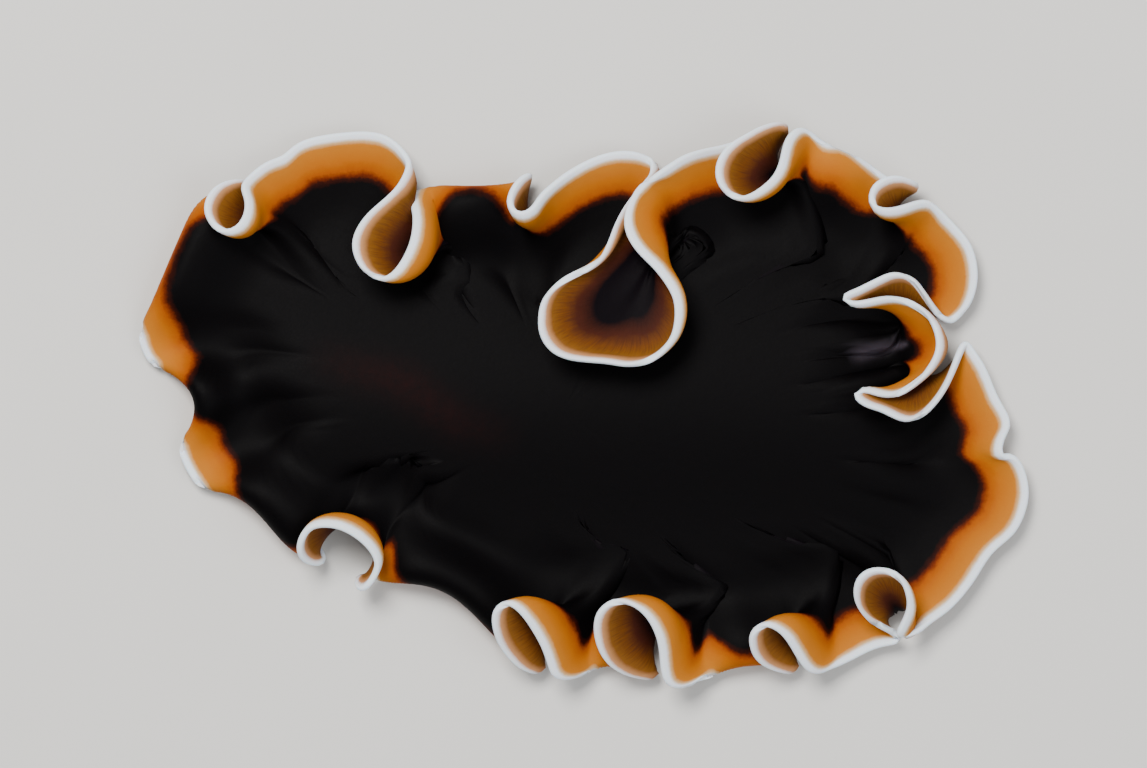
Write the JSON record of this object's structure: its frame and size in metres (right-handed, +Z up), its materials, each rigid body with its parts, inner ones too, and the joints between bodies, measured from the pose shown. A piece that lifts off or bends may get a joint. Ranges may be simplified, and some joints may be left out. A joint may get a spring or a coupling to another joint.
{
  "type": "polyclad flatworm",
  "caption": "Thin oval marine flatworm crawling flat on the floor, its ruffled edge folded into raised loops and lobes.",
  "frame": {"origin": "middle of the bounding box, on the floor", "axes": "+X towards the head, +Y towards the animal's left, +Z up"},
  "size_m": [0.0592, 0.0374, 0.0057],
  "materials": {
    "body_skin": "satin",
    "margin_skin": "satin"
  },
  "bodies": {
    "root": {"tail_lobe_left": "margin_skin", "fold_left_1": "margin_skin", "lobe_left_1": "margin_skin", "fold_left_2": "margin_skin", "lobe_left_2": "margin_skin", "fold_left_3": "margin_skin", "lobe_left_3": "margin_skin", "fold_left_4_rear": "margin_skin", "fold_left_4_front": "margin_skin", "lobe_left_4": "margin_skin", "fold_left_5": "margin_skin", "lobe_left_5": "margin_skin", "fold_left_6": "margin_skin", "lobe_front_left": "margin_skin", "pseudotentacle_left": "margin_skin", "front_margin": "margin_skin", "pseudotentacle_right": "margin_skin", "lobe_front_right": "margin_skin", "lobe_right_1": "margin_skin", "fold_right_1": "margin_skin", "lobe_right_2": "margin_skin", "fold_right_2": "margin_skin", "lobe_right_3": "margin_skin", "fold_right_3": "margin_skin", "lobe_right_4": "margin_skin", "fold_right_4": "margin_skin", "lobe_right_5": "margin_skin", "fold_right_5": "margin_skin", "lobe_right_6": "margin_skin", "tail_lobe_right": "margin_skin", "trunk": "body_skin", "head": "body_skin", "tail": "body_skin", "flank_left_rear": "body_skin", "flank_left_front": "body_skin", "flank_right_front": "body_skin", "flank_right_rear": "body_skin"}
  },
  "joints": []
}
